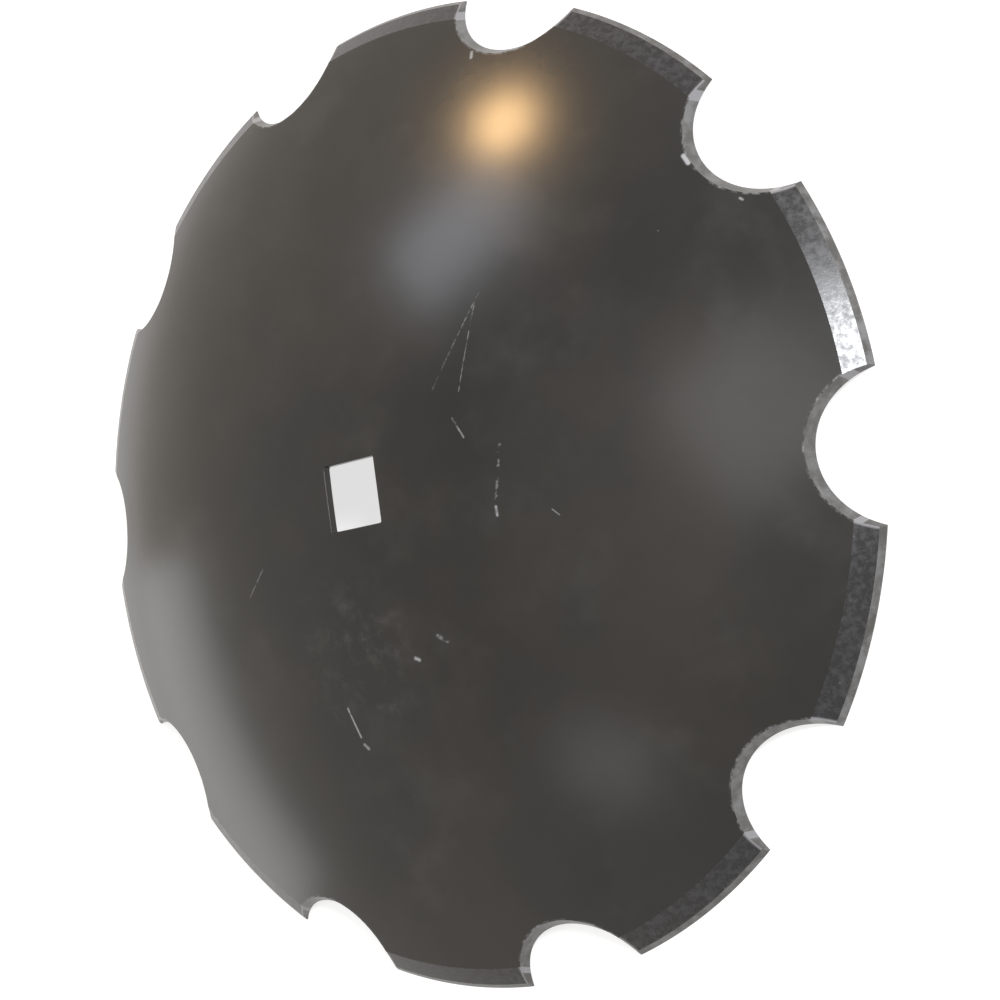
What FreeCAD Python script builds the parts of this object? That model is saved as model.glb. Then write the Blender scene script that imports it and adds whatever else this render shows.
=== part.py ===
import FreeCAD, Part

import math
import os

import Sketcher
from FreeCAD import Vector

# A notched harrow disc blade: one dished plate of steel with ten round notches cut into its rim
# and a square hole for the gang axle. It lies on its ten teeth with the domed face up. The origin
# is on the disc's axis, in the plane of the teeth's lowest edges. +Z is up, and the flats of the
# axle hole are square to X and Y.

NODE = "disc_blade"

# name, value (mm, degrees or a count), what it is
SIZES = [
    ("disc_diameter", 508.0, "across the teeth"),
    ("dish_depth", 58.0, "rim plane to the middle of the hollow face"),
    ("sheet_thickness", 4.0, "square to the sheet"),
    ("bevel_width", 11.4, "thinned band round the domed face, along the radius"),
    ("edge_width", 2.2, "cutting edge, along the radius"),
    ("edge_rise", 2.7, "cutting edge, its upper line above the land"),
    ("edge_land", 0.8, "blunt land at the very rim"),
    ("notch_count", 10, "notches, evenly spaced"),
    ("notch_radius", 40.6, "in the rim plane"),
    ("notch_setout", 19.5, "notch's middle, outside the rim"),
    ("notch_lean", 26.5, "degrees that the notch wall leans back from upright"),
    ("first_notch_angle", 31.0, "degrees from +X to the first notch"),
    ("hole_side", 33.0, "axle hole, flat to flat"),
    ("hole_corner_radius", 1.2, "inside corners of the axle hole"),
    ("hole_lead_in", 1.2, "lead-in round the axle hole on the domed face, at 45 degrees"),
]

# Sketcher's names for the origin point and for the two axes, and for the points of a curve
ORIGIN = (-1, 1)
H_AXIS = -1
V_AXIS = -2
START = 1
END = 2
CENTRE = 3

NOTCH_CUT_BELOW = 5.0
NOTCH_CUT_HEIGHT = 60.0
LEAD_IN_ABOVE = 1.0


def make_sheet(doc):
    """The driving dimensions, one row each."""
    sheet = doc.addObject("Spreadsheet::Sheet", "Sizes")
    for row, (alias, value, meaning) in enumerate(SIZES, start=1):
        sheet.set(f"A{row}", alias)
        sheet.set(f"B{row}", str(value))
        sheet.set(f"C{row}", meaning)
        sheet.setAlias(f"B{row}", alias)
    doc.recompute()
    return sheet


def origin_feature(body, role):
    """One of the body's own planes or axes."""
    return next(item for item in body.Origin.OriginFeatures if item.Role == role)


def new_sketch(body, name, role):
    """An empty sketch on one of the body's own planes."""
    sketch = body.newObject("Sketcher::SketchObject", name)
    sketch.AttachmentSupport = [(origin_feature(body, role), "")]
    sketch.MapMode = "FlatFace"
    return sketch


def constrain(sketch, kind, *arguments):
    sketch.addConstraint(Sketcher.Constraint(kind, *arguments))


def dimension(sketch, name, expression, kind, *arguments):
    """A named dimension that follows the sheet."""
    constrain(sketch, kind, *arguments)
    sketch.renameConstraint(sketch.ConstraintCount - 1, name)
    sketch.setExpression(f"Constraints.{name}", expression)


def profile_sketch(body, sheet):
    """Half of the disc's section: hollow arc, domed arc, bevel, cutting edge and land."""
    rim = sheet.disc_diameter / 2
    depth = sheet.dish_depth
    thickness = sheet.sheet_thickness
    dish_radius = (rim**2 + depth**2) / (2 * depth)
    centre_z = depth - dish_radius
    bevel_start = rim - sheet.bevel_width
    domed_radius = dish_radius + thickness
    middle = Vector(0, centre_z, 0)
    rim_angle = math.asin(-centre_z / dish_radius)
    bevel_angle = math.acos(bevel_start / domed_radius)
    bevel_top = Vector(bevel_start, centre_z + domed_radius * math.sin(bevel_angle), 0)
    edge_top = Vector(rim - sheet.edge_width, sheet.edge_land + sheet.edge_rise, 0)
    land_top = Vector(rim, sheet.edge_land, 0)
    land_foot = Vector(rim, 0, 0)

    sketch = new_sketch(body, "SectionProfile", "XZ_Plane")
    hollow_circle = Part.Circle(middle, Vector(0, 0, 1), dish_radius)
    domed_circle = Part.Circle(middle, Vector(0, 0, 1), domed_radius)
    hollow = sketch.addGeometry(Part.ArcOfCircle(hollow_circle, rim_angle, math.pi / 2))
    domed = sketch.addGeometry(Part.ArcOfCircle(domed_circle, bevel_angle, math.pi / 2))
    axis_line = sketch.addGeometry(
        Part.LineSegment(Vector(0, depth, 0), Vector(0, depth + thickness, 0))
    )
    bevel = sketch.addGeometry(Part.LineSegment(bevel_top, edge_top))
    edge = sketch.addGeometry(Part.LineSegment(edge_top, land_top))
    land = sketch.addGeometry(Part.LineSegment(land_top, land_foot))

    for first, second in (
        ((hollow, START), (land, END)),
        ((land, START), (edge, END)),
        ((edge, START), (bevel, END)),
        ((bevel, START), (domed, START)),
        ((domed, END), (axis_line, END)),
        ((axis_line, START), (hollow, END)),
        ((domed, CENTRE), (hollow, CENTRE)),
    ):
        constrain(sketch, "Coincident", *first, *second)
    constrain(sketch, "PointOnObject", hollow, CENTRE, V_AXIS)
    constrain(sketch, "PointOnObject", axis_line, START, V_AXIS)
    constrain(sketch, "PointOnObject", land, END, H_AXIS)
    constrain(sketch, "Vertical", axis_line)
    constrain(sketch, "Vertical", land)

    dimension(sketch, "rim_radius", "Sizes.disc_diameter / 2",
              "DistanceX", *ORIGIN, land, END, rim)
    dimension(sketch, "depth", "Sizes.dish_depth",
              "DistanceY", *ORIGIN, axis_line, START, depth)
    dimension(sketch, "thickness", "Sizes.sheet_thickness",
              "DistanceY", axis_line, START, axis_line, END, thickness)
    dimension(sketch, "bevel_start", "Sizes.disc_diameter / 2 - Sizes.bevel_width",
              "DistanceX", *ORIGIN, bevel, START, bevel_start)
    dimension(sketch, "edge_width", "Sizes.edge_width",
              "DistanceX", edge, START, edge, END, sheet.edge_width)
    dimension(sketch, "edge_rise", "Sizes.edge_rise",
              "DistanceY", edge, END, edge, START, sheet.edge_rise)
    dimension(sketch, "land_height", "Sizes.edge_land",
              "DistanceY", land, END, land, START, sheet.edge_land)
    return sketch


def rounded_square_sketch(body, name, side, side_expression, radius, radius_expression):
    """A square centred on the axis, with rounded corners."""
    half = side / 2
    inner = half - radius
    sketch = new_sketch(body, name, "XY_Plane")
    sides = []
    corners = []
    for quarter in range(4):
        turn = FreeCAD.Rotation(Vector(0, 0, 1), 90 * quarter)
        side_start = turn.multVec(Vector(-inner, -half, 0))
        side_end = turn.multVec(Vector(inner, -half, 0))
        middle = turn.multVec(Vector(inner, -inner, 0))
        circle = Part.Circle(middle, Vector(0, 0, 1), radius)
        from_angle = math.radians(90 * quarter - 90)
        arc = Part.ArcOfCircle(circle, from_angle, from_angle + math.pi / 2)
        sides.append(sketch.addGeometry(Part.LineSegment(side_start, side_end)))
        corners.append(sketch.addGeometry(arc))
    for quarter in range(4):
        constrain(sketch, "Tangent", sides[quarter], END, corners[quarter], START)
        constrain(sketch, "Tangent", corners[quarter], END, sides[(quarter + 1) % 4], START)
        if quarter:
            constrain(sketch, "Equal", corners[0], corners[quarter])
    constrain(sketch, "Horizontal", sides[0])
    constrain(sketch, "Vertical", sides[1])
    constrain(sketch, "Horizontal", sides[2])
    constrain(sketch, "Vertical", sides[3])
    constrain(sketch, "Symmetric", corners[0], CENTRE, corners[2], CENTRE, *ORIGIN)
    dimension(sketch, "corner_radius", radius_expression, "Radius", corners[0], radius)
    dimension(sketch, "flat_to_flat_x", side_expression,
              "DistanceX", sides[3], START, sides[1], START, side)
    dimension(sketch, "flat_to_flat_y", side_expression,
              "DistanceY", sides[0], START, sides[2], START, side)
    return sketch


def notch_sketch(body, sheet):
    """The circle of the first notch, a little below the rim plane, where the cut starts."""
    tangent = math.tan(math.radians(sheet.notch_lean))
    radius = sheet.notch_radius - NOTCH_CUT_BELOW * tangent
    reach = sheet.disc_diameter / 2 + sheet.notch_setout
    angle = math.radians(sheet.first_notch_angle)
    middle = Vector(reach * math.cos(angle), reach * math.sin(angle), 0)
    sketch = new_sketch(body, "NotchCircle", "XY_Plane")
    sketch.AttachmentOffset = FreeCAD.Placement(
        Vector(0, 0, -NOTCH_CUT_BELOW), FreeCAD.Rotation()
    )
    circle = sketch.addGeometry(Part.Circle(middle, Vector(0, 0, 1), radius))
    spoke = sketch.addGeometry(Part.LineSegment(Vector(0, 0, 0), middle), True)
    constrain(sketch, "Coincident", spoke, START, *ORIGIN)
    constrain(sketch, "Coincident", spoke, END, circle, CENTRE)
    dimension(sketch, "reach", "Sizes.disc_diameter / 2 + Sizes.notch_setout",
              "Distance", spoke, reach)
    dimension(sketch, "turn", "Sizes.first_notch_angle * 1 deg",
              "Angle", spoke, angle)
    dimension(sketch, "cut_radius",
              f"Sizes.notch_radius - {NOTCH_CUT_BELOW} * tan(Sizes.notch_lean * 1 deg)",
              "Radius", circle, radius)
    return sketch


def build_blade(doc, sheet):
    """The blade as one body: turned dish, axle hole with its rolled edge, notches."""
    body = doc.addObject("PartDesign::Body", "DiscBlade")
    body.Label = NODE

    dish = body.newObject("PartDesign::Revolution", "Dish")
    profile = profile_sketch(body, sheet)
    dish.Profile = profile
    dish.ReferenceAxis = (profile, ["V_Axis"])
    dish.Angle = 360.0
    body.Tip = dish
    doc.recompute()
    dish_volume = body.Shape.Volume

    hole = body.newObject("PartDesign::Pocket", "AxleHole")
    hole.Profile = rounded_square_sketch(
        body, "AxleHoleOutline",
        sheet.hole_side, "Sizes.hole_side",
        sheet.hole_corner_radius, "Sizes.hole_corner_radius",
    )
    hole.Type = "ThroughAll"
    hole.Reversed = True
    body.Tip = hole
    doc.recompute()
    hole_volume = dish_volume - body.Shape.Volume
    expected = sheet.hole_side**2 * sheet.sheet_thickness
    if abs(hole_volume / expected - 1) > 0.05:
        raise RuntimeError(f"axle hole took {hole_volume:.0f} mm3, expected {expected:.0f}")

    # the lead-in starts above the crown and narrows down to the hole's own size
    spread = sheet.hole_lead_in + LEAD_IN_ABOVE
    mouth = rounded_square_sketch(
        body, "AxleHoleMouth",
        sheet.hole_side + 2 * spread,
        f"Sizes.hole_side + 2 * (Sizes.hole_lead_in + {LEAD_IN_ABOVE})",
        sheet.hole_corner_radius + spread,
        f"Sizes.hole_corner_radius + Sizes.hole_lead_in + {LEAD_IN_ABOVE}",
    )
    mouth.setExpression(
        "AttachmentOffset.Base.z",
        f"Sizes.dish_depth + Sizes.sheet_thickness + {LEAD_IN_ABOVE}",
    )
    lead_in = body.newObject("PartDesign::Pocket", "AxleHoleLeadIn")
    lead_in.Profile = mouth
    lead_in.Type = "Length"
    lead_in.TaperAngle = -45.0
    lead_in.setExpression("Length", f"Sizes.hole_lead_in + {LEAD_IN_ABOVE}")
    body.Tip = lead_in
    doc.recompute()
    before_notch = body.Shape.Volume
    print(f"lead-in took {dish_volume - hole_volume - before_notch:.1f} mm3")

    circle = notch_sketch(body, sheet)
    notch = body.newObject("PartDesign::Pocket", "Notch")
    notch.Profile = circle
    notch.Type = "Length"
    notch.Length = NOTCH_CUT_HEIGHT
    notch.Reversed = True
    notch.setExpression("TaperAngle", "Sizes.notch_lean * 1 deg")
    doc.recompute()
    notch_volume = before_notch - body.Shape.Volume
    if notch_volume <= 0:
        raise RuntimeError("the notch cut nothing")

    pattern = body.newObject("PartDesign::PolarPattern", "Notches")
    pattern.Originals = [notch]
    pattern.Axis = (origin_feature(body, "Z_Axis"), [""])
    pattern.Angle = 360.0
    pattern.setExpression("Occurrences", "Sizes.notch_count")
    body.Tip = pattern
    doc.recompute()
    all_notches = before_notch - body.Shape.Volume
    if abs(all_notches / (notch_volume * sheet.notch_count) - 1) > 0.01:
        raise RuntimeError(f"the notches took {all_notches:.0f} mm3")
    return body


def check(doc, body):
    """Every object recomputed without a fault, and one valid solid."""
    for item in doc.Objects:
        if {"Invalid", "Error"} & set(item.State):
            raise RuntimeError(f"{item.Name} is {item.State}")
    shape = body.Shape
    if shape.isNull() or not shape.isValid() or len(shape.Solids) != 1:
        raise RuntimeError(f"{body.Label} is not one valid solid")


def main():
    os.makedirs("parts", exist_ok=True)
    doc = FreeCAD.newDocument("HarrowDiscBlade")
    sheet = make_sheet(doc)
    body = build_blade(doc, sheet)
    check(doc, body)
    body.Placement = FreeCAD.Placement()
    body.Shape.exportStep(f"parts/{body.Label}.step")
    box = body.Shape.BoundBox
    print(f"{body.Label}: {box.XLength:.2f} x {box.YLength:.2f} x {box.ZLength:.2f} mm,"
          f" z from {box.ZMin:.3f}, {body.Shape.Volume / 1000:.1f} cm3,"
          f" {len(body.Shape.Faces)} faces")


main()
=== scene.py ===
import math

import bpy
from mathutils import Matrix, Vector


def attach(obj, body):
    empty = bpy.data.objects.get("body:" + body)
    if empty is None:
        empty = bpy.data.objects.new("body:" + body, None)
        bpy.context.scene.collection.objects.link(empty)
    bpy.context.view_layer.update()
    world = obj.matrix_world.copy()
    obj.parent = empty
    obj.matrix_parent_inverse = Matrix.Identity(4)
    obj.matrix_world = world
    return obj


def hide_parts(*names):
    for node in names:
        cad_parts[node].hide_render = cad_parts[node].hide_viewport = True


# A notched harrow disc blade in satin black lacquer, lying on its ten teeth with the domed face up.
# The disc's axis is Z and the teeth's lowest edges are at z = 0. Lengths are in metres.

MM = 0.001

# The sheet and its dish
DISC_RADIUS = 254.0 * MM
DISH_DEPTH = 58.0 * MM
SHEET = 4.0 * MM
HOLLOW_RADIUS = (DISC_RADIUS**2 + DISH_DEPTH**2) / (2 * DISH_DEPTH)
DOMED_RADIUS = HOLLOW_RADIUS + SHEET
DISH_CENTRE = DISH_DEPTH - HOLLOW_RADIUS

# The ground band and the cutting edge, along the radius
BEVEL_WIDTH = 11.4 * MM
EDGE_WIDTH = 2.2 * MM
EDGE_TOP = 3.5 * MM
LAND = 0.8 * MM

# The notches
NOTCH_COUNT = 10
NOTCH_RADIUS = 40.6 * MM
NOTCH_CENTRE = DISC_RADIUS + 19.5 * MM
NOTCH_LEAN = math.radians(26.5)
FIRST_NOTCH = math.radians(31.0)

# The square hole for the gang axle
HOLE_SIDE = 33.0 * MM
HOLE_CORNER = 1.2 * MM
HOLE_ROLL = 1.3 * MM

# How finely the round forms are divided
DISC_STEPS = 480
DISH_STEPS = 52
NOTCH_STEPS = 160


# How bright the room is, from level (0) to straight up (1), and how much the floor is lifted
ROOM_LEVELS = [
    (0.01, (0.80, 0.73, 0.64)),
    (0.30, (0.72, 0.67, 0.60)),
    (0.65, (0.64, 0.62, 0.58)),
    (0.88, (0.38, 0.38, 0.36)),
    (0.99, (0.60, 0.59, 0.56)),
]
FLOOR_LIFT = 0.72

# Lamps: name, the place on the blade (mm) where its highlight falls, azimuth, elevation (degrees),
# distance, width and height (m), brightness, colour
LAMPS = [
    ("overhead", (190, 0, 24), 30, 74, 2.2, (0.8, 0.8), 1.6, (1.0, 1.0, 1.0)),
    ("cool_window", (77, 116, 45), 125, 47, 2.4, (0.75, 0.5), 4.2, (0.82, 0.88, 1.0)),
    ("warm_lamp", (99, 162, 31), 112, 38, 2.0, (0.22, 0.22), 60, (1.0, 0.62, 0.28)),
    ("side_lamp", (246, 30, 7), 20, 43, 2.2, (0.42, 0.42), 95, (0.95, 0.97, 1.0)),
    ("low_board", (-100, -150, 35), -170, 6, 2.4, (1.5, 0.8), 1.3, (0.95, 0.98, 1.0)),
    ("front_board", (110, -120, 32), -116, 56, 2.2, (0.45, 0.4), 1.3, (1.0, 1.0, 1.0)),
]


def domed_height(radius):
    """Height of the domed face at a distance from the axis."""
    return DISH_CENTRE + math.sqrt(DOMED_RADIUS**2 - radius**2)


# ------------------------------------------------------------------ modelling


def start_from_nothing_selected():
    if bpy.context.mode != "OBJECT":
        bpy.ops.object.mode_set(mode="OBJECT")
    bpy.ops.object.select_all(action="DESELECT")


def name_new_piece(name):
    piece = bpy.context.active_object
    piece.name = name
    piece.data.name = name
    return piece


def work_on(piece):
    """The piece alone is selected, with its place held in its mesh."""
    start_from_nothing_selected()
    piece.select_set(True)
    bpy.context.view_layer.objects.active = piece
    bpy.ops.object.transform_apply(location=True, rotation=True, scale=True)


def select_points(piece, chosen):
    """In edit mode, the points for which chosen(place) is true."""
    bpy.ops.mesh.select_mode(type="VERT")
    bpy.ops.mesh.select_all(action="DESELECT")
    bpy.ops.object.mode_set(mode="OBJECT")
    for point in piece.data.vertices:
        point.select = chosen(point.co)
    bpy.ops.object.mode_set(mode="EDIT")


def trim_section(through, outward):
    """Cuts away what lies beyond a line of the section."""
    bpy.ops.mesh.select_all(action="SELECT")
    bpy.ops.mesh.bisect(
        plane_co=through, plane_no=outward, clear_outer=True, threshold=1e-7
    )


def trim_section_line(start, end):
    """Cuts the section along the line between two of its points."""
    along = Vector((end[0] - start[0], 0, end[1] - start[1]))
    outward = Vector((-along.z, 0, along.x))
    if outward.x < 0:
        outward.negate()
    trim_section((start[0], 0, start[1]), outward)


def make_dished_sheet():
    """The sheet's section, swept round the dish's centre, trimmed, and turned about the axis."""
    start_from_nothing_selected()
    bpy.ops.mesh.primitive_plane_add(
        size=SHEET,
        location=(SHEET / 2, 0, DISH_DEPTH + SHEET / 2),
        rotation=(math.pi / 2, 0, 0),
    )
    blade = name_new_piece("blade")
    work_on(blade)

    bpy.ops.object.mode_set(mode="EDIT")
    select_points(blade, lambda place: place.x > SHEET / 2)
    bpy.ops.mesh.delete(type="VERT")
    bpy.ops.mesh.select_all(action="SELECT")
    reach = math.asin(DISC_RADIUS / HOLLOW_RADIUS) + math.radians(1)
    bpy.ops.mesh.spin(
        steps=DISH_STEPS, angle=reach, center=(0, 0, DISH_CENTRE), axis=(0, -1, 0)
    )
    bevel_start = DISC_RADIUS - BEVEL_WIDTH
    edge_start = DISC_RADIUS - EDGE_WIDTH
    trim_section((HOLE_SIDE / 4, 0, 0), (-1, 0, 0))
    trim_section_line((bevel_start, domed_height(bevel_start)), (edge_start, EDGE_TOP))
    trim_section_line((edge_start, EDGE_TOP), (DISC_RADIUS, LAND))
    trim_section((DISC_RADIUS, 0, 0), (1, 0, 0))
    trim_section((0, 0, 0), (0, 0, -1))

    bpy.ops.mesh.select_mode(type="EDGE")
    bpy.ops.mesh.select_all(action="SELECT")
    bpy.ops.mesh.region_to_loop()
    bpy.ops.mesh.select_all(action="INVERT")
    bpy.ops.mesh.delete(type="EDGE_FACE")
    bpy.ops.mesh.select_all(action="SELECT")
    bpy.ops.mesh.spin(
        steps=DISC_STEPS, angle=2 * math.pi, center=(0, 0, 0), axis=(0, 0, 1)
    )
    bpy.ops.mesh.select_all(action="SELECT")
    bpy.ops.mesh.remove_doubles(threshold=1e-6)
    bpy.ops.mesh.normals_make_consistent(inside=False)
    bpy.ops.object.mode_set(mode="OBJECT")
    return blade


def make_notch_cutters():
    """Ten upright cones, one standing in each notch."""
    below = 5 * MM
    height = 40 * MM
    spread = math.tan(NOTCH_LEAN)
    cutters = []
    for notch in range(NOTCH_COUNT):
        turn = FIRST_NOTCH + notch * 2 * math.pi / NOTCH_COUNT
        start_from_nothing_selected()
        bpy.ops.mesh.primitive_cone_add(
            vertices=NOTCH_STEPS,
            radius1=NOTCH_RADIUS - below * spread,
            radius2=NOTCH_RADIUS + (height - below) * spread,
            depth=height,
            location=(
                NOTCH_CENTRE * math.cos(turn),
                NOTCH_CENTRE * math.sin(turn),
                height / 2 - below,
            ),
        )
        cutter = name_new_piece(f"notch_cutter_{notch + 1}")
        work_on(cutter)
        cutters.append(cutter)
    return cutters


def make_hole_cutter():
    """A square bar with rounded corners, flared where the punched edge rolls over."""
    crown = DISH_DEPTH + SHEET
    start_from_nothing_selected()
    bar = 20 * MM
    bpy.ops.mesh.primitive_cube_add(size=1, location=(0, 0, crown - HOLE_ROLL - bar / 2))
    cutter = name_new_piece("hole_cutter")
    cutter.scale = (HOLE_SIDE, HOLE_SIDE, bar)
    work_on(cutter)
    bpy.ops.object.mode_set(mode="EDIT")
    bpy.ops.mesh.select_mode(type="EDGE")
    bpy.ops.mesh.select_all(action="DESELECT")
    bpy.ops.object.mode_set(mode="OBJECT")
    for edge in cutter.data.edges:
        ends = [cutter.data.vertices[end].co for end in edge.vertices]
        edge.select = abs(ends[0].z - ends[1].z) > bar / 2
    bpy.ops.object.mode_set(mode="EDIT")
    bpy.ops.mesh.bevel(offset=HOLE_CORNER, segments=14, affect="EDGES")
    top = crown - HOLE_ROLL
    select_points(cutter, lambda place: place.z > top - 0.1 * MM)
    bpy.ops.mesh.select_mode(type="FACE")
    steps = 6
    width = HOLE_SIDE / 2
    rise = 0.0
    for step in range(1, steps + 1):
        angle = step * math.pi / 2 / steps
        new_width = HOLE_SIDE / 2 + HOLE_ROLL * (1 - math.cos(angle))
        new_rise = HOLE_ROLL * math.sin(angle)
        bpy.ops.mesh.extrude_region_move(
            TRANSFORM_OT_translate={"value": (0, 0, new_rise - rise)}
        )
        grow = new_width / width
        bpy.ops.transform.resize(
            value=(grow, grow, 1), center_override=(0, 0, top + new_rise)
        )
        width = new_width
        rise = new_rise
    bpy.ops.mesh.extrude_region_move(TRANSFORM_OT_translate={"value": (0, 0, 2 * MM)})
    bpy.ops.object.mode_set(mode="OBJECT")
    return cutter


def cut_away(piece, cutter):
    """Takes the cutter's form out of the piece, and the cutter off the bench."""
    start_from_nothing_selected()
    piece.select_set(True)
    bpy.context.view_layer.objects.active = piece
    cut = piece.modifiers.new("cut", "BOOLEAN")
    cut.operation = "DIFFERENCE"
    cut.solver = "EXACT"
    cut.object = cutter
    bpy.ops.object.modifier_apply(modifier=cut.name)
    bpy.data.objects.remove(cutter)


# ------------------------------------------------------------------ finishes


def new_material(name):
    material = bpy.data.materials.new(name)
    material.use_nodes = True
    return material, material.node_tree


def new_group(name, inputs, outputs):
    """An empty shader group with named sockets, and its two end nodes."""
    group = bpy.data.node_groups.new(name, "ShaderNodeTree")
    for socket, kind, value in inputs:
        made = group.interface.new_socket(socket, in_out="INPUT", socket_type=kind)
        if value is not None:
            made.default_value = value
    for socket, kind in outputs:
        group.interface.new_socket(socket, in_out="OUTPUT", socket_type=kind)
    return group, group.nodes.new("NodeGroupInput"), group.nodes.new("NodeGroupOutput")


def add_node(tree, kind, inputs=(), **settings):
    """A node with its settings, and each input either linked or set."""
    node = tree.nodes.new(kind)
    for setting, value in settings.items():
        setattr(node, setting, value)
    for socket, value in dict(inputs).items():
        if isinstance(value, bpy.types.NodeSocket):
            tree.links.new(value, node.inputs[socket])
        else:
            node.inputs[socket].default_value = value
    return node


def calculate(tree, operation, first, second=0.0, third=0.0, clamp=False):
    inputs = {0: first, 1: second, 2: third}
    node = add_node(
        tree, "ShaderNodeMath", inputs, operation=operation, use_clamp=clamp
    )
    return node.outputs[0]


def fade(tree, value, from_low, from_high, to_low=0.0, to_high=1.0):
    """A smooth step from one level to another."""
    inputs = {
        "Value": value,
        "From Min": from_low,
        "From Max": from_high,
        "To Min": to_low,
        "To Max": to_high,
    }
    node = add_node(
        tree, "ShaderNodeMapRange", inputs, interpolation_type="SMOOTHSTEP"
    )
    return node.outputs["Result"]


def cloud(tree, place, scale, detail=3.0, roughness=0.5, offset=0.0):
    """Soft noise from 0 to 1, the same at each run."""
    moved = add_node(
        tree,
        "ShaderNodeVectorMath",
        {0: place, 1: (offset, offset * 0.7, offset * 1.3)},
        operation="ADD",
    )
    inputs = {
        "Vector": moved.outputs[0],
        "Scale": scale,
        "Detail": detail,
        "Roughness": roughness,
    }
    return add_node(tree, "ShaderNodeTexNoise", inputs).outputs["Fac"]


def flat_length(tree, first, second):
    """The length of two parts at right angles."""
    squares = calculate(
        tree,
        "ADD",
        calculate(tree, "MULTIPLY", first, first),
        calculate(tree, "MULTIPLY", second, second),
    )
    return calculate(tree, "SQRT", squares)


def place_on_blade(tree):
    return add_node(tree, "ShaderNodeTexCoord").outputs["Object"]


def blend_colour(tree, mask, low, high):
    node = add_node(
        tree, "ShaderNodeMix", {"Factor": mask}, data_type="RGBA", blend_type="MIX"
    )
    for socket, colour in ((node.inputs[6], low), (node.inputs[7], high)):
        if isinstance(colour, bpy.types.NodeSocket):
            tree.links.new(colour, socket)
        else:
            socket.default_value = (*colour, 1)
    return node.outputs[2]


def make_edge_gaps_group():
    """How far a place on the sheet is from the rim and from the nearest notch's cut."""
    group, start, end = new_group(
        "edge_gaps",
        [("Place", "NodeSocketVector", None)],
        [("Rim Gap", "NodeSocketFloat"), ("Notch Gap", "NodeSocketFloat")],
    )
    axes = add_node(group, "ShaderNodeSeparateXYZ", {0: start.outputs["Place"]})
    east, north, height = axes.outputs
    reach = flat_length(group, east, north)
    rim_gap = calculate(group, "SUBTRACT", DISC_RADIUS, reach)
    pitch = 2 * math.pi / NOTCH_COUNT
    turn = calculate(
        group, "SUBTRACT", calculate(group, "ARCTAN2", north, east), FIRST_NOTCH
    )
    from_notch = calculate(group, "WRAP", turn, pitch / 2, -pitch / 2)
    along = calculate(
        group,
        "SUBTRACT",
        calculate(group, "MULTIPLY", reach, calculate(group, "COSINE", from_notch)),
        NOTCH_CENTRE,
    )
    across = calculate(group, "MULTIPLY", reach, calculate(group, "SINE", from_notch))
    from_middle = flat_length(group, along, across)
    cut = calculate(group, "MULTIPLY_ADD", height, math.tan(NOTCH_LEAN), NOTCH_RADIUS)
    notch_gap = calculate(group, "SUBTRACT", from_middle, cut)
    group.links.new(rim_gap, end.inputs["Rim Gap"])
    group.links.new(notch_gap, end.inputs["Notch Gap"])
    return group


def make_scratch_group():
    """A thin broken line between two places, seen from above."""
    group, start, end = new_group(
        "scratch",
        [
            ("Place", "NodeSocketVector", None),
            ("From", "NodeSocketVector", None),
            ("To", "NodeSocketVector", None),
            ("Width", "NodeSocketFloat", 0.5 * MM),
            ("Break Up", "NodeSocketFloat", 0.5),
        ],
        [("Mask", "NodeSocketFloat")],
    )
    flat = add_node(
        group,
        "ShaderNodeVectorMath",
        {0: start.outputs["Place"], 1: (1, 1, 0)},
        operation="MULTIPLY",
    ).outputs[0]
    way = add_node(
        group,
        "ShaderNodeVectorMath",
        {0: start.outputs["To"], 1: start.outputs["From"]},
        operation="SUBTRACT",
    ).outputs[0]
    gone = add_node(
        group,
        "ShaderNodeVectorMath",
        {0: flat, 1: start.outputs["From"]},
        operation="SUBTRACT",
    ).outputs[0]
    share = calculate(
        group,
        "DIVIDE",
        add_node(
            group, "ShaderNodeVectorMath", {0: gone, 1: way}, operation="DOT_PRODUCT"
        ).outputs["Value"],
        add_node(
            group, "ShaderNodeVectorMath", {0: way, 1: way}, operation="DOT_PRODUCT"
        ).outputs["Value"],
        clamp=True,
    )
    foot = add_node(
        group,
        "ShaderNodeVectorMath",
        {0: way, "Scale": share},
        operation="SCALE",
    ).outputs[0]
    gap = add_node(
        group, "ShaderNodeVectorMath", {0: gone, 1: foot}, operation="DISTANCE"
    ).outputs["Value"]
    line = fade(group, gap, 0.0, start.outputs["Width"], 1.0, 0.0)
    broken = fade(
        group,
        cloud(group, start.outputs["Place"], 350, 4),
        calculate(group, "MULTIPLY", start.outputs["Break Up"], 0.75),
        0.62,
    )
    group.links.new(calculate(group, "MULTIPLY", line, broken), end.inputs["Mask"])
    return group


def make_grain_group():
    """The lacquer's fine orange peel and the sheet's slight unevenness, as a normal."""
    group, start, end = new_group(
        "lacquer_grain",
        [
            ("Place", "NodeSocketVector", None),
            ("Depth", "NodeSocketFloat", 0.02 * MM),
        ],
        [("Normal", "NodeSocketVector"), ("Grain", "NodeSocketFloat")],
    )
    fine = cloud(group, start.outputs["Place"], 900, 3, 0.6)
    peel = cloud(group, start.outputs["Place"], 160, 2, 0.5, 3.0)
    height = calculate(group, "MULTIPLY_ADD", peel, 1.3, fine)
    bump = add_node(
        group,
        "ShaderNodeBump",
        {"Strength": 1.0, "Distance": start.outputs["Depth"], "Height": height},
    )
    group.links.new(bump.outputs["Normal"], end.inputs["Normal"])
    group.links.new(fine, end.inputs["Grain"])
    return group


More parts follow.
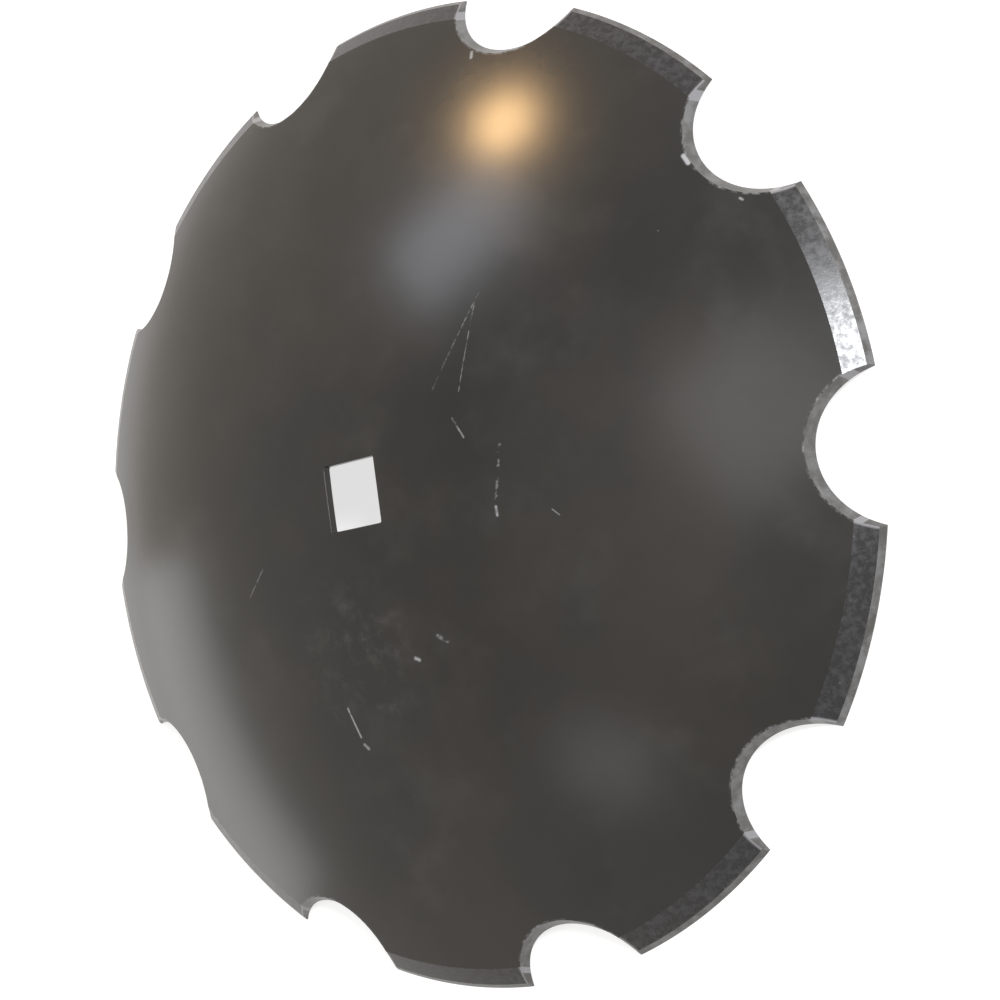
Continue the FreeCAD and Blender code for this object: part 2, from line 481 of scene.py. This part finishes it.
def make_specks_group():
    """Small bright chips and dust specks, here and there."""
    group, start, end = new_group(
        "specks",
        [
            ("Place", "NodeSocketVector", None),
            ("Scale", "NodeSocketFloat", 90.0),
            ("Size", "NodeSocketFloat", 0.06),
            ("Share", "NodeSocketFloat", 0.1),
        ],
        [("Mask", "NodeSocketFloat")],
    )
    cells = add_node(
        group,
        "ShaderNodeTexVoronoi",
        {"Vector": start.outputs["Place"], "Scale": start.outputs["Scale"]},
    )
    picked = calculate(
        group,
        "LESS_THAN",
        add_node(
            group, "ShaderNodeSeparateColor", {0: cells.outputs["Color"]}
        ).outputs[0],
        start.outputs["Share"],
    )
    spot = fade(group, cells.outputs["Distance"], 0.0, start.outputs["Size"], 1.0, 0.0)
    group.links.new(calculate(group, "MULTIPLY", spot, picked), end.inputs["Mask"])
    return group


# Marks on the domed face: start and end from the axis in mm, width in mm, how broken, how bright
SCRATCHES = [
    ((86, 82), (55, 39), 0.45, 0.55, 0.5),
    ((84, 80), (71, 37), 0.45, 0.50, 0.5),
    ((66, 25), (71, 15), 0.8, 0.30, 0.6),
    ((-30, -104), (-26, -119), 0.9, 0.20, 0.9),
    ((-25, -123), (-23, -125), 1.4, 0.0, 0.8),
    ((-88, -40), (-73, -27), 0.6, 0.45, 0.4),
    ((111, -26), (114, -29), 0.5, 0.2, 0.7),
    ((90, 10), (83, -20), 1.2, 0.72, 0.35),
    ((83, -20), (83, -24), 1.1, 0.0, 0.9),
    ((22, -84), (24, -85), 1.5, 0.0, 0.9),
    ((38, -75), (43, -78), 1.5, 0.5, 0.6),
    ((187, 123), (189, 119), 1.6, 0.0, 1.6),
    ((158, -188), (158, -196), 1.0, 0.1, 1.0),
    ((164, -187), (163, -192), 0.9, 0.1, 1.1),
    ((78, 210), (78, 207), 1.4, 0.0, 1.0),
    ((184, 165), (185, 164), 1.1, 0.0, 1.0),
    ((210, 97), (211, 96), 0.9, 0.0, 0.8),
]

# Colours of the finishes
LACQUER = (0.017, 0.0168, 0.0165)
STAINED_LACQUER = (0.026, 0.0235, 0.021)
DUST = (0.06, 0.058, 0.055)
# Bare steel of scratches and nicks, also used as the painted highlight along the notch edges
BARE_NICK_AND_EDGE_HIGHLIGHT = (0.32, 0.33, 0.35)
BAND_LACQUER = (0.020, 0.020, 0.022)
THIN_BAND_LACQUER = (0.042, 0.042, 0.046)
# Light grey of the ground speckle on the band, also used as the painted highlight along the notch
# edges
WORN_BAND_AND_EDGE_HIGHLIGHT = (0.30, 0.30, 0.32)
COATED_CUT = (0.085, 0.083, 0.08)
SHEARED_STEEL = (0.16, 0.16, 0.165)

SHARED = {}


def place_group(tree, group, inputs):
    node = add_node(tree, "ShaderNodeGroup", node_tree=SHARED[group])
    for socket, value in inputs.items():
        if isinstance(value, bpy.types.NodeSocket):
            tree.links.new(value, node.inputs[socket])
        else:
            node.inputs[socket].default_value = value
    return node


def make_shared_groups():
    SHARED["edge_gaps"] = make_edge_gaps_group()
    SHARED["scratch"] = make_scratch_group()
    SHARED["grain"] = make_grain_group()
    SHARED["specks"] = make_specks_group()


def scratches_mask(tree, place):
    """All the scratches and nicks of the domed face together."""
    total = None
    for start, finish, width, break_up, bright in SCRATCHES:
        mark = place_group(
            tree,
            "scratch",
            {
                "Place": place,
                "From": (start[0] * MM, start[1] * MM, 0),
                "To": (finish[0] * MM, finish[1] * MM, 0),
                "Width": width * MM,
                "Break Up": break_up,
            },
        ).outputs["Mask"]
        mark = calculate(tree, "MULTIPLY", mark, bright)
        total = mark if total is None else calculate(tree, "MAXIMUM", total, mark)
    return total


def patch(tree, place, middle, reach):
    """A soft round patch, strongest in its middle."""
    gap = add_node(
        tree,
        "ShaderNodeVectorMath",
        {0: place, 1: middle},
        operation="DISTANCE",
    ).outputs["Value"]
    return fade(tree, gap, 0.0, reach, 1.0, 0.0)


def make_black_lacquer():
    """Satin black over the rolled sheet, with handling scratches and nicks, dust, and a painted
    highlight along the notch edges.
    """
    material, tree = new_material("black_lacquer")
    shader = tree.nodes["Principled BSDF"]
    place = place_on_blade(tree)
    gaps = place_group(tree, "edge_gaps", {"Place": place})
    grain = place_group(tree, "grain", {"Place": place, "Depth": 0.012 * MM})
    stains = fade(tree, cloud(tree, place, 9, 5, 0.6), 0.35, 0.7)
    lacquer = blend_colour(tree, stains, LACQUER, STAINED_LACQUER)

    smear = calculate(
        tree,
        "MULTIPLY",
        patch(tree, place, (-0.012, -0.080, 0.054), 0.055),
        fade(tree, cloud(tree, place, 60, 5, 0.65, 5.0), 0.45, 0.75),
    )
    haze = calculate(
        tree,
        "MULTIPLY",
        fade(tree, cloud(tree, place, 22, 6, 0.6, 9.0), 0.5, 0.8),
        0.25,
    )
    dusty = calculate(tree, "MAXIMUM", smear, haze)
    dusted = blend_colour(tree, dusty, lacquer, DUST)

    dust = place_group(
        tree, "specks", {"Place": place, "Scale": 75.0, "Size": 0.035, "Share": 0.10}
    ).outputs["Mask"]
    # Painted highlight: a thin bright line in bare-steel colour along each notch's edge, standing
    # in for the light a rounded edge would catch, broken up by noise.
    highlight_breakup_noise = cloud(tree, place, 260, 5, 0.65)
    lacquer_edge_highlight = calculate(
        tree,
        "MULTIPLY",
        fade(tree, gaps.outputs["Notch Gap"], 0.2 * MM, 1.0 * MM, 0.7, 0.0),
        fade(tree, highlight_breakup_noise, 0.40, 0.75),
    )
    # The bare-steel colour goes onto the scratches, the dust specks and the painted notch-edge
    # highlight alike.
    marks_and_edge_highlight = calculate(tree, "MAXIMUM", scratches_mask(tree, place), lacquer_edge_highlight)
    marks_and_edge_highlight = calculate(tree, "MAXIMUM", marks_and_edge_highlight, calculate(tree, "MULTIPLY", dust, 0.5))
    marks_and_edge_highlight = calculate(tree, "MINIMUM", marks_and_edge_highlight, 1.0)
    marked_and_edge_highlighted = blend_colour(tree, marks_and_edge_highlight, dusted, BARE_NICK_AND_EDGE_HIGHLIGHT)
    tree.links.new(marked_and_edge_highlighted, shader.inputs["Base Color"])
    roughness = calculate(
        tree,
        "MULTIPLY_ADD",
        grain.outputs["Grain"],
        0.10,
        calculate(tree, "MULTIPLY_ADD", dusty, 0.15, 0.17),
    )
    tree.links.new(roughness, shader.inputs["Roughness"])
    tree.links.new(grain.outputs["Normal"], shader.inputs["Normal"])
    shader.inputs["IOR"].default_value = 1.5
    return material


def make_bevel_lacquer():
    """Thin black over the ground band: greyer, speckled where the grinding shows, and with a
    painted highlight along the notch edges.
    """
    material, tree = new_material("bevel_lacquer")
    shader = tree.nodes["Principled BSDF"]
    place = place_on_blade(tree)
    gaps = place_group(tree, "edge_gaps", {"Place": place})
    grain = place_group(tree, "grain", {"Place": place, "Depth": 0.03 * MM})
    thin = fade(tree, cloud(tree, place, 300, 5, 0.7), 0.4, 0.68)
    base = blend_colour(tree, thin, BAND_LACQUER, THIN_BAND_LACQUER)
    specks = place_group(
        tree, "specks", {"Place": place, "Scale": 420.0, "Size": 0.25, "Share": 0.12}
    ).outputs["Mask"]
    # Painted highlight: a bright line along each notch's edge on the band, standing in for the
    # light a rounded edge would catch.
    band_edge_highlight = calculate(
        tree,
        "MULTIPLY",
        fade(tree, gaps.outputs["Notch Gap"], 0.3 * MM, 1.4 * MM, 1.0, 0.0),
        0.7,
    )
    # Light-grey ground speckle and the painted notch-edge highlight together.
    light = calculate(tree, "MAXIMUM", calculate(tree, "MULTIPLY", specks, 0.3), band_edge_highlight)
    banded = blend_colour(tree, light, base, WORN_BAND_AND_EDGE_HIGHLIGHT)
    tree.links.new(banded, shader.inputs["Base Color"])
    roughness = calculate(tree, "MULTIPLY_ADD", thin, 0.12, 0.26)
    tree.links.new(roughness, shader.inputs["Roughness"])
    tree.links.new(grain.outputs["Normal"], shader.inputs["Normal"])
    return material


def make_cut_edge():
    """Sheared and ground steel under a thin coat, along the notches and the rim."""
    material, tree = new_material("cut_edge")
    shader = tree.nodes["Principled BSDF"]
    place = place_on_blade(tree)
    grain = place_group(tree, "grain", {"Place": place, "Depth": 0.05 * MM})
    patches = fade(tree, cloud(tree, place, 120, 6, 0.65), 0.38, 0.66)
    base = blend_colour(tree, patches, COATED_CUT, SHEARED_STEEL)
    tree.links.new(base, shader.inputs["Base Color"])
    shader.inputs["Metallic"].default_value = 0.25
    roughness = calculate(tree, "MULTIPLY_ADD", patches, 0.12, 0.34)
    tree.links.new(roughness, shader.inputs["Roughness"])
    tree.links.new(grain.outputs["Normal"], shader.inputs["Normal"])
    return material


def make_floor_white():
    """Pale floor that keeps shadows and is plain white to the camera away from them."""
    material, tree = new_material("studio_floor")
    shader = tree.nodes["Principled BSDF"]
    shader.inputs["Base Color"].default_value = (0.42, 0.42, 0.42, 1)
    shader.inputs["Roughness"].default_value = 0.9
    shader.inputs["Specular IOR Level"].default_value = 0.0
    path = add_node(tree, "ShaderNodeLightPath")
    seen = calculate(
        tree, "MAXIMUM", path.outputs["Is Camera Ray"], path.outputs["Is Glossy Ray"]
    )
    lift = add_node(
        tree,
        "ShaderNodeEmission",
        {"Color": (1, 1, 1, 1), "Strength": calculate(tree, "MULTIPLY", seen, FLOOR_LIFT)},
    )
    both = add_node(
        tree, "ShaderNodeAddShader", {0: shader.outputs[0], 1: lift.outputs[0]}
    )
    tree.links.new(both.outputs[0], tree.nodes["Material Output"].inputs["Surface"])
    return material


# ------------------------------------------------------------------ studio


def direction(azimuth, elevation):
    """Unit vector towards a compass direction and height, in degrees."""
    turn = math.radians(azimuth)
    rise = math.radians(elevation)
    return Vector(
        (
            math.cos(rise) * math.cos(turn),
            math.cos(rise) * math.sin(turn),
            math.sin(rise),
        )
    )


def add_soft_lamp(name, aim, azimuth, elevation, distance, size, level, colour):
    """A soft rectangular light of a given brightness, seen from a place on the blade."""
    light = bpy.data.lights.new(name, "AREA")
    light.shape = "RECTANGLE"
    light.size, light.size_y = size
    light.energy = level * math.pi * size[0] * size[1]
    light.color = colour
    lamp = bpy.data.objects.new(name, light)
    bpy.context.scene.collection.objects.link(lamp)
    away = direction(azimuth, elevation)
    lamp.location = Vector(aim) * MM + away * distance
    lamp.rotation_euler = away.to_track_quat("Z", "Y").to_euler()
    return lamp


def set_up_world():
    """A plain pale room: brighter low down, dimmer overhead, and white to the camera."""
    world = bpy.data.worlds.new("studio_world")
    bpy.context.scene.world = world
    world.use_nodes = True
    tree = world.node_tree
    facing = add_node(tree, "ShaderNodeTexCoord").outputs["Generated"]
    height = add_node(tree, "ShaderNodeSeparateXYZ", {0: facing}).outputs["Z"]
    room = add_node(tree, "ShaderNodeValToRGB", {"Fac": height})
    ramp = room.color_ramp
    ramp.interpolation = "EASE"
    for position, colour in ROOM_LEVELS:
        stop = ramp.elements.new(position)
        stop.color = (*colour, 1)
    ramp.elements.remove(ramp.elements[0])
    ramp.elements.remove(ramp.elements[-1])
    path = add_node(tree, "ShaderNodeLightPath")
    shown = blend_colour(
        tree, path.outputs["Is Camera Ray"], room.outputs["Color"], (1, 1, 1)
    )
    tree.links.new(shown, tree.nodes["Background"].inputs["Color"])


def set_up_floor():
    start_from_nothing_selected()
    bpy.ops.mesh.primitive_plane_add(size=8, location=(0, 0, 0))
    floor = name_new_piece("studio_floor")
    floor.data.materials.append(make_floor_white())


def set_up_camera():
    """Looks down on the domed face from beside the blade, with the picture's top level."""
    target = Vector((0.0436, -0.0105, 0.0))
    away = direction(-9.27, 52.48)
    picture_up = Vector((0.168, 0.986, -0.006))
    right = picture_up.cross(away).normalized()
    up = away.cross(right)
    data = bpy.data.cameras.new("camera")
    data.lens = 58.0
    data.sensor_width = 36.0
    camera = bpy.data.objects.new("camera", data)
    bpy.context.scene.collection.objects.link(camera)
    turn = Matrix((right, up, away)).transposed().to_4x4()
    camera.matrix_world = Matrix.Translation(target + away * 0.8153) @ turn
    bpy.context.scene.camera = camera


def paint_faces(blade):
    """Each face takes its finish from where it lies and how it slopes."""
    for finish in (make_black_lacquer(), make_bevel_lacquer(), make_cut_edge()):
        blade.data.materials.append(finish)
    lacquer, bevel, cut = range(3)
    bevel_start = DISC_RADIUS - BEVEL_WIDTH - 0.05 * MM
    edge_start = DISC_RADIUS - EDGE_WIDTH - 0.05 * MM
    crown = DISH_DEPTH - 3 * MM
    for face in blade.data.polygons:
        middle = face.center
        reach = math.hypot(middle.x, middle.y)
        outward = (middle.x * face.normal.x + middle.y * face.normal.y) / reach
        face.material_index = lacquer
        if face.normal.z > 0:
            to_centre = Vector((0, 0, DISH_CENTRE)) - middle
            on_dome = abs(to_centre.normalized().dot(face.normal)) > 0.9995
            if not on_dome:
                face.material_index = cut
            if not on_dome and outward > 0.5 and bevel_start < reach < edge_start:
                face.material_index = bevel
            if not on_dome and middle.z > crown:
                face.material_index = lacquer
        elif abs(face.normal.z) < 0.01 and reach > edge_start:
            face.material_index = cut


def make_blade():
    make_shared_groups()
    blade = make_dished_sheet()
    for cutter in make_notch_cutters():
        cut_away(blade, cutter)
    cut_away(blade, make_hole_cutter())
    start_from_nothing_selected()
    blade.select_set(True)
    bpy.context.view_layer.objects.active = blade
    bpy.ops.object.shade_smooth_by_angle(angle=math.radians(7))
    blade.data.materials.clear()
    paint_faces(blade)
    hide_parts("disc_blade")
    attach(blade, "root")
    return blade


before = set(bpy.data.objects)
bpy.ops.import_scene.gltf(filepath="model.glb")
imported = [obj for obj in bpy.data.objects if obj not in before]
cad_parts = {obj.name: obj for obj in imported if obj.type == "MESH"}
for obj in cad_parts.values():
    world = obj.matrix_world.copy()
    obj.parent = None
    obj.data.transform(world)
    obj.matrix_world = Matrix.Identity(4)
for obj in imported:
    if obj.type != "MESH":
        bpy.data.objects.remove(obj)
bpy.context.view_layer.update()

make_blade()
set_up_floor()
set_up_world()
for lamp_settings in LAMPS:
    add_soft_lamp(*lamp_settings)
set_up_camera()

view = bpy.context.scene.view_settings
view.view_transform = "Standard"
